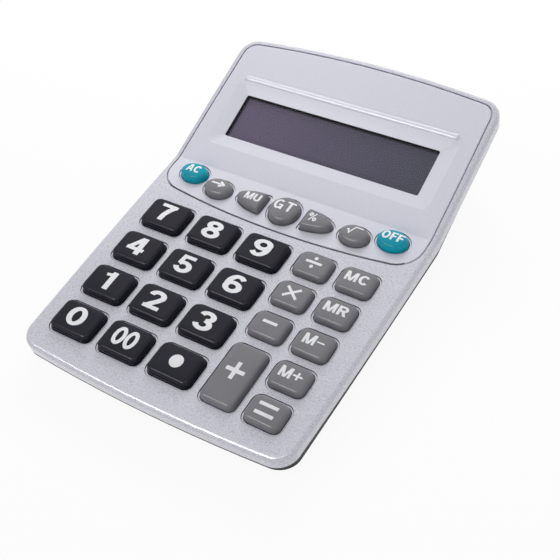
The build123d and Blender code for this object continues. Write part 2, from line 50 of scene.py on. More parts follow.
# The bent top: lengths in millimetres. The deck is the keypad plane and the hood the
# display plane; both start at the fold.
KEYPAD_LENGTH = 121.2
FRONT_HEIGHT = 13.0
DECK_TILT = radians(3.0)
HOOD_BEND = radians(15.4)
FOLD_Y = 24.069
FOLD_Z = FRONT_HEIGHT + KEYPAD_LENGTH * sin(DECK_TILT)

DECK = (Matrix.Translation((0, FOLD_Y * MM, FOLD_Z * MM))
        @ Matrix.Rotation(DECK_TILT, 4, "X") @ Matrix.Scale(MM, 4))
HOOD = DECK @ Matrix.Rotation(HOOD_BEND, 4, "X")

PANEL_PROUD = 0.15

# The display window on the hood, and the film behind it with its black border; the film carries a
# painted light falloff, and its border is shifted to show as a painted shadow of the window's edge
WINDOW_HALF = 51.2
WINDOW_FRONT = 18.2
WINDOW_BACK = 41.9
FILM_BORDER = 0.6
FILM_SOFT_EDGE = 1.2
FILM_GRAIN = 0.1
FILM_GRAIN_SCALE = 700.0
FILM_ROUGHNESS = 0.25
# The film's colours at the left and the right: a painted light falloff, lit on the left and shaded
# on the right
FILM_LIT_AND_SHADED_COLOURS = ((0.28, 0.22, 0.38), (0.13, 0.13, 0.20))
# How far the border is shifted so that it shows as a painted shadow along the window's top and left
# edges
FILM_SHADOW_SHIFT = 0.8

# The step around each key, on the deck, and the painted shade on its slope
STEP_DEPTH = 0.45
STEP_SOFT = 0.06
# How dark the painted shade on the step's slope is
STEP_SHADE_TONE = 0.1
KEYS_HALF_WIDTH = 62.0
KEYS_MIDDLE = -55.0
KEYS_HALF_LENGTH = 56.0

# The photograph's camera, in millimetres on the deck: its place, the point it looks at
# and its turn about the line of sight
CAMERA_PLACE = (204.34, -244.09, 317.47)
CAMERA_TARGET = (18.82, -44.75, 0.0)
CAMERA_ROLL = radians(-14.2)
CAMERA_NEAR = 0.01
FOCAL_PIXELS = 1000.0
FRAME_PIXELS = 560.0
SENSOR = 36.0


# Materials
NOISE_LOW = 0.3
NOISE_HIGH = 0.7


def new_material(name):
    """A node material and its Principled shader."""
    material = bpy.data.materials.new(name)
    material.use_nodes = True
    return material, material.node_tree.nodes["Principled BSDF"]


def node(material, kind, **values):
    """A node with its inputs and settings filled in by name."""
    made = material.node_tree.nodes.new(kind)
    for name, value in values.items():
        label = name.replace("_", " ").title()
        if label in made.inputs:
            made.inputs[label].default_value = value
        else:
            setattr(made, name, value)
    return made


def link(material, source, target):
    """Joins an output to an input in the material's own tree."""
    material.node_tree.links.new(source, target)


def noise(material, scale, detail=2.0, roughness=0.5):
    """Noise in the object's own metres."""
    place = node(material, "ShaderNodeTexCoord")
    grain = node(material, "ShaderNodeTexNoise", scale=scale, detail=detail, roughness=roughness)
    link(material, place.outputs["Object"], grain.inputs["Vector"])
    return grain


def spread(material, source, low, high, start=NOISE_LOW, stop=NOISE_HIGH):
    """Maps a grey value to the range from low to high."""
    remap = node(material, "ShaderNodeMapRange", from_min=start, from_max=stop,
                 to_min=low, to_max=high)
    link(material, source, remap.inputs["Value"])
    return remap.outputs["Result"]


def mottle(material, shader, colours, source, start=NOISE_LOW, stop=NOISE_HIGH):
    """Base colour that runs between two colours with a grey value."""
    ramp = node(material, "ShaderNodeValToRGB")
    ramp.color_ramp.elements[0].position = start
    ramp.color_ramp.elements[1].position = stop
    for element, colour in zip(ramp.color_ramp.elements, colours):
        element.color = (*colour, 1)
    link(material, source, ramp.inputs["Fac"])
    link(material, ramp.outputs["Color"], shader.inputs["Base Color"])


def bump(material, shader, source, strength, distance):
    """Small relief on the surface, with a grey value as its height."""
    made = node(material, "ShaderNodeBump", strength=strength, distance=distance)
    link(material, source, made.inputs["Height"])
    link(material, made.outputs["Normal"], shader.inputs["Normal"])


def framed(material, frame_matrix):
    """Separate coordinates, in millimetres, in the frame of the deck or the hood."""
    place = node(material, "ShaderNodeTexCoord")
    turn = frame_matrix.inverted()
    mapping = node(material, "ShaderNodeMapping")
    mapping.inputs["Location"].default_value = turn.to_translation()
    mapping.inputs["Rotation"].default_value = turn.to_euler()
    mapping.inputs["Scale"].default_value = turn.to_scale()
    link(material, place.outputs["Object"], mapping.inputs["Vector"])
    axes = node(material, "ShaderNodeSeparateXYZ")
    link(material, mapping.outputs["Vector"], axes.inputs["Vector"])
    return axes


def combine(material, operation, first, second):
    """One sum, product or choice of two values, each a socket or a number."""
    made = node(material, "ShaderNodeMath", operation=operation)
    for socket, value in zip(made.inputs, (first, second)):
        if isinstance(value, (int, float)):
            socket.default_value = value
        else:
            link(material, value, socket)
    return made.outputs["Value"]


def inside(material, value, middle, half, soft):
    """1 well inside a range of a coordinate and 0 outside it."""
    away = combine(material, "ABSOLUTE", combine(material, "SUBTRACT", value, middle), 0.0)
    return spread(material, away, 1.0, 0.0, half - soft, half)


def dim_colour(material, shader, share):
    """Scales the base colour that a shader already has by a grey value."""
    paint = shader.inputs["Base Color"].links[0].from_socket
    dim = node(material, "ShaderNodeVectorMath", operation="SCALE")
    link(material, paint, dim.inputs[0])
    link(material, share, dim.inputs["Scale"])
    link(material, dim.outputs["Vector"], shader.inputs["Base Color"])


def painted_step_shade(material, shader, level):
    """Paints shade on the slope of the step around each key, darkening it as if it lay in shadow.
    """
    axes = framed(material, DECK)
    slope = inside(material, axes.outputs["Z"], level - STEP_DEPTH / 2, STEP_DEPTH / 2, STEP_SOFT)
    across = inside(material, axes.outputs["X"], 0.0, KEYS_HALF_WIDTH, STEP_SOFT)
    along = inside(material, axes.outputs["Y"], KEYS_MIDDLE, KEYS_HALF_LENGTH, STEP_SOFT)
    share = combine(material, "MULTIPLY", slope, combine(material, "MULTIPLY", across, along))
    dim_colour(material, shader, spread(material, share, 1.0, STEP_SHADE_TONE, 0.0, 1.0))


PAINT_COAT = 0.8
FLAKE_DETAIL = 3.0
FLAKE_ROUGHNESS = 0.7
FLAKE_LOW = 0.32
FLAKE_HIGH = 0.68
FLAKE_SHEEN_SPREAD = 0.08
FLAKE_DEPTH = 0.04 * MM


def silver(name, dark, light, flake, roughness, relief, level, metallic, coat_roughness):
    """Metallic paint under clear coat: flakes as small light and dark cells with relief."""
    material, shader = new_material(name)
    shader.inputs["Metallic"].default_value = metallic
    shader.inputs["Coat Weight"].default_value = PAINT_COAT
    shader.inputs["Coat Roughness"].default_value = coat_roughness
    cells = noise(material, flake, detail=FLAKE_DETAIL, roughness=FLAKE_ROUGHNESS)
    mottle(material, shader, (dark, light), cells.outputs["Fac"], FLAKE_LOW, FLAKE_HIGH)
    link(material, spread(material, cells.outputs["Fac"], roughness - FLAKE_SHEEN_SPREAD,
                          roughness + FLAKE_SHEEN_SPREAD), shader.inputs["Roughness"])
    bump(material, shader, cells.outputs["Fac"], relief, FLAKE_DEPTH)
    # Painted shade on the slope of the step around each key
    painted_step_shade(material, shader, level)
    return material


TONE_SCALE = 90.0
TONE_DETAIL = 3.0
GRAIN_ROUGHNESS = 0.6
GRAIN_DEPTH = 0.03 * MM
METAL_GRAIN = 1500.0
METAL_RELIEF = 0.1
CLEAR_GRAIN = 400.0
CLEAR_RELIEF = 0.02


def moulded(name, dark, light, roughness, grain, relief, specular=0.5, sheen_spread=0.05):
    """Moulded plastic: a fine skin with slight changes of tone and sheen."""
    material, shader = new_material(name)
    shader.inputs["Specular IOR Level"].default_value = specular
    tone = noise(material, TONE_SCALE, detail=TONE_DETAIL)
    skin = noise(material, grain, roughness=GRAIN_ROUGHNESS)
    mottle(material, shader, (dark, light), tone.outputs["Fac"])
    link(material, spread(material, skin.outputs["Fac"], roughness - sheen_spread,
                          roughness + sheen_spread), shader.inputs["Roughness"])
    bump(material, shader, skin.outputs["Fac"], relief, GRAIN_DEPTH)
    return material


def metal(name, dark, light, roughness):
    """Bare or plated metal with a fine grain."""
    material = moulded(name, dark, light, roughness, METAL_GRAIN, METAL_RELIEF)
    material.node_tree.nodes["Principled BSDF"].inputs["Metallic"].default_value = 1.0
    return material


def see_through(name, dark, light, roughness, alpha):
    """Clear plastic that keeps a little tone and gloss of its own."""
    material = moulded(name, dark, light, roughness, CLEAR_GRAIN, CLEAR_RELIEF)
    material.node_tree.nodes["Principled BSDF"].inputs["Alpha"].default_value = alpha
    return material


def lcd_film():
    """Polariser film with a painted light falloff, lighter to the left, inside a black border
    shifted right and towards the front so that it shows along the window's top and left edges as a
    painted shadow of the window's edge.
    """
    material, shader = new_material("lcd_glass")
    shader.inputs["Roughness"].default_value = FILM_ROUGHNESS
    axes = framed(material, HOOD)
    # Painted light falloff across the film, lighter to the left
    light_fade = spread(material, axes.outputs["X"], 0.0, 1.0, -WINDOW_HALF, WINDOW_HALF)
    grain = noise(material, FILM_GRAIN_SCALE)
    tone = node(material, "ShaderNodeMath", operation="MULTIPLY_ADD")
    link(material, grain.outputs["Fac"], tone.inputs[0])
    tone.inputs[1].default_value = FILM_GRAIN
    link(material, light_fade, tone.inputs[2])
    mottle(material, shader, FILM_LIT_AND_SHADED_COLOURS, tone.outputs["Value"], 0.0, 1.0)
    middle = (WINDOW_FRONT + WINDOW_BACK) / 2
    # The border, shifted right and towards the front, is a painted shadow of the window's edge
    # along its top and left
    across = inside(material, axes.outputs["X"], FILM_SHADOW_SHIFT,
                    WINDOW_HALF - FILM_BORDER + FILM_SOFT_EDGE, FILM_SOFT_EDGE)
    along = inside(material, axes.outputs["Y"], middle - FILM_SHADOW_SHIFT,
                   middle - WINDOW_FRONT - FILM_BORDER + FILM_SOFT_EDGE, FILM_SOFT_EDGE)
    dim_colour(material, shader, combine(material, "MINIMUM", across, along))
    return material


# One material for each slot in the record: the darker and the lighter of its two colours,
# and its other values by name
MATERIALS = {
    "silver_case": silver(
        "silver_case", (0.43, 0.43, 0.495), (0.71, 0.705, 0.785), flake=2200.0, roughness=0.32,
        relief=0.6, level=0.0, metallic=0.35, coat_roughness=0.12),
    "silver_panel": silver(
        "silver_panel", (0.65, 0.65, 0.74), (0.74, 0.74, 0.84), flake=2600.0, roughness=0.38,
        relief=0.15, level=PANEL_PROUD, metallic=0.12, coat_roughness=0.25),
    "black_case": moulded(
        "black_case", (0.008, 0.008, 0.009), (0.014, 0.014, 0.015), roughness=0.5,
        grain=1600.0, relief=0.4, specular=0.3),
    "black_key": moulded(
        "black_key", (0.005, 0.005, 0.014), (0.008, 0.008, 0.018), roughness=0.18,
        grain=1600.0, relief=0.01, specular=0.22, sheen_spread=0.02),
    "grey_key": moulded(
        "grey_key", (0.188, 0.184, 0.198), (0.213, 0.209, 0.225), roughness=0.24,
        grain=1600.0, relief=0.015, sheen_spread=0.02),
    "teal_key": moulded(
        "teal_key", (0.0, 0.33, 0.45), (0.0, 0.38, 0.51), roughness=0.12,
        grain=1600.0, relief=0.01, specular=0.2, sheen_spread=0.02),
    "display_lens": see_through(
        "display_lens", (0.05, 0.045, 0.06), (0.06, 0.055, 0.07), roughness=0.12, alpha=0.18),
    "lcd_glass": lcd_film(),
    "inner_plastic": moulded(
        "inner_plastic", (0.70, 0.70, 0.67), (0.78, 0.78, 0.75), roughness=0.5,
        grain=1200.0, relief=0.2),
    "ribbon": moulded(
        "ribbon", (0.30, 0.14, 0.04), (0.38, 0.19, 0.06), roughness=0.3,
        grain=800.0, relief=0.1),
    "mat_rubber": moulded(
        "mat_rubber", (0.50, 0.50, 0.47), (0.60, 0.60, 0.56), roughness=0.55,
        grain=900.0, relief=0.2),
    "board": moulded(
        "board", (0.02, 0.13, 0.05), (0.04, 0.19, 0.08), roughness=0.35,
        grain=500.0, relief=0.3),
    "chip": moulded(
        "chip", (0.012, 0.012, 0.012), (0.025, 0.025, 0.025), roughness=0.35,
        grain=500.0, relief=0.4),
    "can": metal("can", (0.66, 0.66, 0.68), (0.76, 0.76, 0.78), roughness=0.25),
    "steel": metal("steel", (0.52, 0.52, 0.54), (0.64, 0.64, 0.66), roughness=0.35),
    "foot_rubber": moulded(
        "foot_rubber", (0.02, 0.02, 0.02), (0.035, 0.035, 0.035), roughness=0.7,
        grain=1400.0, relief=0.5),
    "cell_jacket": moulded(
        "cell_jacket", (0.20, 0.20, 0.22), (0.28, 0.28, 0.30), roughness=0.3,
        grain=600.0, relief=0.05),
    "contact_metal": metal(
        "contact_metal", (0.66, 0.65, 0.62), (0.78, 0.77, 0.74), roughness=0.28),
    "lead_black": moulded(
        "lead_black", (0.015, 0.015, 0.015), (0.03, 0.03, 0.03), roughness=0.4,
        grain=900.0, relief=0.1),
    "lead_red": moulded(
        "lead_red", (0.42, 0.015, 0.015), (0.55, 0.03, 0.03), roughness=0.4,
        grain=900.0, relief=0.1),
}
LEGEND = moulded(
    "legend_ink", (0.90, 0.90, 0.93), (0.96, 0.96, 0.99), roughness=0.5, grain=1500.0, relief=0.1)


# Carried-over nodes: flat faces stay flat, facets of one curve blend, and creases stay crisp
CREASE = cos(radians(28))
SAME_PLANE = cos(radians(0.6))
WIDE_FACE = 1.2 * MM
SAME_PLACE_DIGITS = 7


def mesh_arrays(data):
    """Each face's corners as shared point numbers, and the faces' normals and areas."""
    places = np.empty(len(data.vertices) * 3)
    data.vertices.foreach_get("co", places)
    rounded = places.reshape(-1, 3).round(SAME_PLACE_DIGITS)
    points = np.unique(rounded, axis=0, return_inverse=True)[1].ravel()
    corners = [[points[index] for index in face.vertices] for face in data.polygons]
    normals = np.array([face.normal for face in data.polygons])
    areas = np.array([face.area for face in data.polygons])
    return corners, normals, areas


def in_wide_regions(data, corners, normals, areas):
    """For each face, whether the flat region that it lies in is wide."""
    owner = list(range(len(corners)))

    def root(index):
        """The face that stands for the whole region of a face."""
        while owner[index] != index:
            owner[index] = owner[owner[index]]
            index = owner[index]
        return index

    sides = {}
    for index, (loop, face) in enumerate(zip(corners, data.polygons)):
        ends = [data.vertices[number].co for number in face.vertices]
        for step, here in enumerate(loop):
            following = (step + 1) % len(loop)
            side = tuple(sorted((here, loop[following])))
            sides.setdefault(side, []).append((index, (ends[following] - ends[step]).length))
    for faces in sides.values():
        first = faces[0][0]
        for other, length in faces[1:]:
            if normals[first] @ normals[other] > SAME_PLANE:
                owner[root(other)] = root(first)
    region = np.array([root(index) for index in range(len(corners))])
    area = np.bincount(region, areas, len(corners))
    border = np.zeros(len(corners))
    for faces in sides.values():
        for index, length in faces:
            if len(faces) == 1 or any(region[index] != region[other] for other, _ in faces):
                border[region[index]] += length
    wide = 2 * area > WIDE_FACE * np.maximum(border, WIDE_FACE)
    return wide[region]


def shade(data):
    """Gives each corner the normal of the wide flat face it touches, or of its curve."""
    corners, normals, areas = mesh_arrays(data)
    wide = in_wide_regions(data, corners, normals, areas)
    around = {}
    for index, loop in enumerate(corners):
        for here in loop:
            around.setdefault(here, []).append(index)
    made = []
    for index, loop in enumerate(corners):
        for here in loop:
            if wide[index]:
                made.append(normals[index])
                continue
            near = np.array(around[here])
            near = near[normals[near] @ normals[index] > CREASE]
            if wide[near].any():
                near = near[wide[near]]
            blend = (normals[near] * areas[near][:, None]).sum(0)
            made.append(blend / max(np.linalg.norm(blend), TINY))
    for face in data.polygons:
        face.use_smooth = True
    data.normals_split_custom_set(made)


def dress_nodes():
    """Gives each carried-over node the material of its slot, and clean shading."""
    for part in frame["record"]["subparts"]:
        shown = frame["nodes"][part["node"]]
        shown.data.materials.clear()
        shown.data.materials.append(MATERIALS[part["material_slot"]])
        if not part["node"].startswith("key_"):
            shade(shown.data)


# Key crowns: outlines in millimetres about the key's own place, shrunk by an inset
CORNER_STEPS = 8
SIDE_STEPS = 5
OVAL_STEPS = 64
LEAF_STEPS = 40
LEAF_FLAT_STEPS = 6
PAD_CORNER_SHARE = 0.6
PAD_CORNER_LEAST = 0.4
LEAF_CORNER_SHARE = 0.4
LEAF_CORNER_LEAST = 0.35
KEY_BOTTOM = -3.6
FLANGE_TOP = -2.5
FLANGE_WIDTH = 0.8
ROUND_STEPS = 7
TOP_RINGS = 7
SIDE_SHARE = 0.5


def pad_outline(half, radius):
    """A rounded rectangle, evenly divided on its sides and corners."""
    def ring(inset):
        a, b = half[0] - inset, half[1] - inset
        r = max(radius - inset * PAD_CORNER_SHARE, PAD_CORNER_LEAST)
        points = []
        for turn, (sx, sy) in enumerate(((1, 1), (-1, 1), (-1, -1), (1, -1))):
            for step in range(CORNER_STEPS + 1):
                angle = (turn + step / CORNER_STEPS) * pi / 2
                points.append((sx * (a - r) + r * cos(angle), sy * (b - r) + r * sin(angle)))
        return split_sides(points)
    return ring


def split_sides(points):
    """Divides each straight side, which follows a corner's points, into equal steps."""
    made = []
    count = len(points)
    for index, point in enumerate(points):
        made.append(point)
        if index % (CORNER_STEPS + 1) == CORNER_STEPS:
            following = points[(index + 1) % count]
            for step in range(1, SIDE_STEPS):
                share = step / SIDE_STEPS
                made.append(tuple(p + (q - p) * share for p, q in zip(point, following)))
    return made


def oval_outline(half):
    """An ellipse, or a circle where both halves are the same."""
    def ring(inset):
        a, b = half[0] - inset, half[1] - inset
        turns = [2 * pi * step / OVAL_STEPS for step in range(OVAL_STEPS)]
        return [(a * cos(turn), b * sin(turn)) for turn in turns]
    return ring


def leaf_outline(length, depth, side, middle, corner):
    """Half an ellipse with its flat side towards the middle key."""
    def ring(inset):
        a, b = length - inset, depth - inset
        r = max(corner - inset * LEAF_CORNER_SHARE, LEAF_CORNER_LEAST)
        flat = inset
        start = pi / 2 - (flat + r) / a
        points = []
        for step in range(LEAF_STEPS + 1):
            angle = start * (2 * step / LEAF_STEPS - 1)
            points.append((a * cos(angle), b * sin(angle)))
        top = points[-1][1] - r
        for step in range(1, CORNER_STEPS + 1):
            angle = pi / 2 * (1 + step / CORNER_STEPS)
            points.append((flat + r + r * cos(angle), top + r * sin(angle)))
        for step in range(1, LEAF_FLAT_STEPS):
            points.append((flat, top * (1 - 2 * step / LEAF_FLAT_STEPS)))
        for step in range(CORNER_STEPS):
            angle = pi + pi / 2 * step / CORNER_STEPS
            points.append((flat + r + r * cos(angle), -top + r * sin(angle)))
        return [(side * (x - middle), y) for x, y in points]
    return ring


def crown_profile(height, inset, rounding, crown):
    """Pairs of inset and height from the flange up over the rounded edge."""
    side_top = height - crown - rounding
    lean = side_top * inset / height
    pairs = [(-FLANGE_WIDTH, KEY_BOTTOM), (-FLANGE_WIDTH, FLANGE_TOP), (0, FLANGE_TOP), (0, 0),
             (lean * SIDE_SHARE, side_top * SIDE_SHARE)]
    for step in range(ROUND_STEPS + 1):
        angle = pi / 2 * step / ROUND_STEPS
        pairs.append((lean + rounding * (1 - cos(angle)), side_top + rounding * sin(angle)))
    return pairs


def build_crown(outline, height, inset, rounding, crown):
    """A closed key: rings up the profile, then a gently domed top."""
    mesh = bmesh.new()
    rings = []
    pairs = crown_profile(height, inset, rounding, crown)
    for shrink, level in pairs:
        rings.append([mesh.verts.new((x, y, level)) for x, y in outline(shrink)])
    rim = outline(pairs[-1][0])
    for step in range(1, TOP_RINGS):
        share = 1 - step / TOP_RINGS
        level = height - crown * share ** 2
        rings.append([mesh.verts.new((x * share, y * share, level)) for x, y in rim])
    for low, high in zip(rings, rings[1:]):
        for index in range(len(low)):
            following = (index + 1) % len(low)
            mesh.faces.new((low[index], low[following], high[following], high[index]))
    for ring, level in ((rings[-1], height), (list(reversed(rings[0])), KEY_BOTTOM)):
        middle = mesh.verts.new((0, 0, level))
        for index in range(len(ring)):
            mesh.faces.new((ring[index], ring[(index + 1) % len(ring)], middle))
    bmesh.ops.recalc_face_normals(mesh, faces=mesh.faces)
    return mesh


# Legends: strokes whose width depends on their direction, in shares of the cap height
UPRIGHT = 0.225
LEVEL = 0.185
WIDTH_POWER = 1.5
MITER_LEAST = 0.5
ARC_STEPS = 20
RING_STEPS = 40


def arc(cx, cy, rx, ry, start, end, steps=ARC_STEPS):
    """Points along an ellipse between two angles in degrees."""
    turns = [radians(start + (end - start) * step / steps) for step in range(steps + 1)]
    return [(cx + rx * cos(turn), cy + ry * sin(turn)) for turn in turns]


def stroke(points, upright=UPRIGHT, level=LEVEL):
    """An open stroke that is wider where it runs upright."""
    return points, upright, level, False


def ring_stroke(cx, cy, rx, ry, upright=UPRIGHT, level=LEVEL):
    """A closed stroke round an ellipse."""
    return arc(cx, cy, rx, ry, 0, 360, RING_STEPS), upright, level, True


def bar(points, width):
    """An open stroke of one width."""
    return points, width, width, False


# Each glyph's width and its strokes; a 9 is a 6 turned half round
SIX_WIDTH = 0.75
GLYPHS = {
    "0": (0.76, [ring_stroke(0.38, 0.5, 0.265, 0.41)]),
    "1": (0.52, [bar([(0.36, 0), (0.36, 1)], UPRIGHT),
                 bar([(0.38, 0.98), (0.27, 0.82), (0.05, 0.765)], 0.155)]),
    "2": (0.74, [stroke(arc(0.36, 0.70, 0.25, 0.205, 180, -25, 18) + [(0.47, 0.44), (0.17, 0.10)]),
                 bar([(0.04, 0.0925), (0.72, 0.0925)], LEVEL)]),
    "3": (0.74, [stroke(arc(0.35, 0.72, 0.235, 0.19, 170, -90, 22)),
                 stroke(arc(0.35, 0.30, 0.26, 0.21, 90, -175, 22))]),
    "4": (0.78, [bar([(0.54, 0), (0.54, 1)], UPRIGHT), bar([(0.02, 0.29), (0.76, 0.29)], LEVEL),
                 bar([(0.10, 0.25), (0.49, 0.97)], 0.19)]),
    "5": (0.74, [bar([(0.12, 0.9075), (0.67, 0.9075)], LEVEL),
                 bar([(0.215, 0.97), (0.165, 0.46)], 0.17),
                 stroke(arc(0.37, 0.33, 0.255, 0.235, 145, -170, 26))]),
    "6": (SIX_WIDTH, [ring_stroke(0.38, 0.315, 0.26, 0.225),
                      stroke(arc(0.42, 0.46, 0.30, 0.45, 190, 45))]),
    "7": (0.72, [bar([(0.02, 0.905), (0.70, 0.905)], LEVEL),
                 bar([(0.60, 0.92), (0.44, 0.64), (0.34, 0.34), (0.30, -0.1)], 0.22)]),
    "8": (0.75, [ring_stroke(0.375, 0.735, 0.225, 0.175), ring_stroke(0.375, 0.295, 0.26, 0.205)]),
    "A": (0.80, [bar([(0.09, -0.05), (0.38, 1.05)], 0.20), bar([(0.71, -0.05), (0.42, 1.05)], 0.20),
                 bar([(0.2, 0.29), (0.6, 0.29)], LEVEL)]),
    "C": (0.78, [stroke(arc(0.40, 0.5, 0.28, 0.41, 40, 320, 30))]),
    "O": (0.82, [ring_stroke(0.41, 0.5, 0.295, 0.41)]),
    "F": (0.62, [bar([(0.12, 0), (0.12, 1)], UPRIGHT), bar([(0.06, 0.9075), (0.62, 0.9075)], LEVEL),
                 bar([(0.06, 0.49), (0.56, 0.49)], LEVEL)]),
    "G": (0.82, [stroke(arc(0.40, 0.5, 0.30, 0.42, 45, 325, 30), 0.19, 0.155),
                 bar([(0.42, 0.44), (0.775, 0.44)], 0.14), bar([(0.70, 0.48), (0.70, 0)], 0.14)]),
    "T": (0.70, [bar([(0.35, 0), (0.35, 0.95)], 0.19),
                 bar([(0, 0.9225), (0.70, 0.9225)], 0.155)]),
    "M": (0.94, [bar([(0.11, 0), (0.11, 1)], 0.20), bar([(0.83, 0), (0.83, 1)], 0.20),
                 bar([(0.14, 1.05), (0.45, 0)], 0.19), bar([(0.80, 1.05), (0.49, 0)], 0.19)]),
    "U": (0.78, [stroke([(0.12, 1), (0.12, 0.36)] + arc(0.39, 0.36, 0.27, 0.27, 188, 352)
                        + [(0.66, 0.36), (0.66, 1)])]),
    "R": (0.76, [bar([(0.12, 0), (0.12, 1)], UPRIGHT), bar([(0.42, 0.46), (0.68, -0.1)], 0.22),
                 stroke([(0.10, 0.9075), (0.42, 0.9075)]
                        + arc(0.42, 0.70, 0.21, 0.2075, 80, -80, 16)
                        + [(0.42, 0.4925), (0.10, 0.4925)])]),
    "+": (0.74, [bar([(0.37, 0.14), (0.37, 0.86)], 0.155), bar([(0, 0.5), (0.74, 0.5)], 0.155)]),
    "-": (0.62, [bar([(0, 0.5), (0.62, 0.5)], 0.125)]),
    "=": (0.90, [bar([(0, 0.73), (0.9, 0.73)], 0.16), bar([(0, 0.29), (0.9, 0.29)], 0.16)]),
    "times": (0.92, [bar([(0.02, 0.86), (0.90, 0.14)], 0.165),
                     bar([(0.02, 0.14), (0.90, 0.86)], 0.165)]),
    "divide": (1.06, [bar([(0, 0.5), (1.06, 0.5)], 0.18),
                      ring_stroke(0.53, 0.82, 0.06, 0.06, 0.12, 0.12),
                      ring_stroke(0.53, 0.18, 0.06, 0.06, 0.12, 0.12)]),
    "%": (1.00, [ring_stroke(0.22, 0.76, 0.135, 0.16, 0.155, 0.14),
                 ring_stroke(0.78, 0.24, 0.135, 0.16, 0.155, 0.14),
                 bar([(0.26, 0), (0.74, 1)], 0.13)]),
    "root": (1.50, [bar([(0, 0.42), (0.16, 0.50), (0.36, 0.04)], 0.13),
                    bar([(0.33, -0.02), (0.72, 0.93)], 0.12),
                    bar([(0.69, 0.94), (1.5, 0.94)], 0.12)]),
    "arrow": (1.30, [bar([(0, 0.5), (0.9, 0.5)], 0.2),
                     bar([(0.78, 0.86), (1.22, 0.46)], 0.22),
                     bar([(0.78, 0.14), (1.22, 0.54)], 0.22)]),
    "point": (1.00, [ring_stroke(0.5, 0.5, 0.25, 0.25, 0.5, 0.5)]),
}
GLYPHS["9"] = GLYPHS["6"]


def stroke_edges(points, upright, level, closed):
    """The two edges of a stroke, as arrays of points."""
    line = np.array(points[:-1] if closed else points, float)
    steps = np.roll(line, -1, 0) - line if closed else np.diff(line, axis=0)
    steps /= np.linalg.norm(steps, axis=1)[:, None]
    ahead = steps if closed else np.vstack([steps, steps[-1:]])
    behind = np.roll(steps, 1, 0) if closed else np.vstack([steps[:1], steps])
    along = ahead + behind
    along /= np.linalg.norm(along, axis=1)[:, None]
    across = np.stack([-along[:, 1], along[:, 0]], 1)
    miter = 1 / np.clip((along * ahead).sum(1), MITER_LEAST, 1)
    width = level + (upright - level) * np.abs(along[:, 1]) ** WIDTH_POWER
    offset = across * (width * miter / 2)[:, None]
    return line + offset, line - offset


def polygon_field(places, polygon):
    """Signed distance from each place to a polygon, negative inside."""
    nearest = np.full(len(places), np.inf)
    within = np.zeros(len(places), bool)
    for (ax, ay), (bx, by) in zip(polygon, np.roll(polygon, -1, 0)):
        ex, ey = bx - ax, by - ay
        px, py = places[:, 0] - ax, places[:, 1] - ay
        share = np.clip((px * ex + py * ey) / (ex * ex + ey * ey + TINY), 0, 1)
        nearest = np.minimum(nearest, np.hypot(px - share * ex, py - share * ey))
        if ay != by:
            beside = places[:, 0] < ax + (places[:, 1] - ay) / (by - ay) * ex
            within ^= ((ay > places[:, 1]) != (by > places[:, 1])) & beside
    return np.where(within, -nearest, nearest)


def glyph_field(places, strokes):
    """Signed distance to the ink of a glyph, kept between its base and cap lines."""
    best = np.full(len(places), np.inf)
    for points, upright, level, closed in strokes:
        left, right = stroke_edges(points, upright, level, closed)
        if closed:
            outer, inner = sorted((left, right), key=lambda edge: -np.ptp(edge[:, 0]))
            ink = polygon_field(places, outer)
            if np.ptp(inner[:, 0]) > level / 4:
                ink = np.maximum(ink, -polygon_field(places, inner))
        else:
            ink = polygon_field(places, np.vstack([left, right[::-1]]))
        best = np.minimum(best, ink)
    return np.maximum(best, np.maximum(-places[:, 1], places[:, 1] - 1))


def text_field(places, text, spacing, squeeze):
    """Signed distance to a row of glyphs, centred on zero, in cap heights."""
    widths = [GLYPHS[sign][0] * squeeze for sign in text]
    left = -(sum(widths) + spacing * (len(text) - 1)) / 2
    best = np.full(len(places), np.inf)
    for sign, width in zip(text, widths):
        local = (places - (left, -0.5)) / (squeeze, 1)
        if sign == "9":
            local = (SIX_WIDTH, 1) - local
        best = np.minimum(best, glyph_field(local, GLYPHS[sign][1]))
        left += width + spacing
    return best


# The printed layer, in millimetres, and the grid on which it is cut out, whose margin and
# half height are shares of the cap height
INK_CELL = 0.16
INK_LIFT = 0.03
INK_DEPTH = 0.12
GRID_MARGIN_SHARE = 0.3
GRID_HALF_SHARE = 0.65
ABOVE_KEY = 20


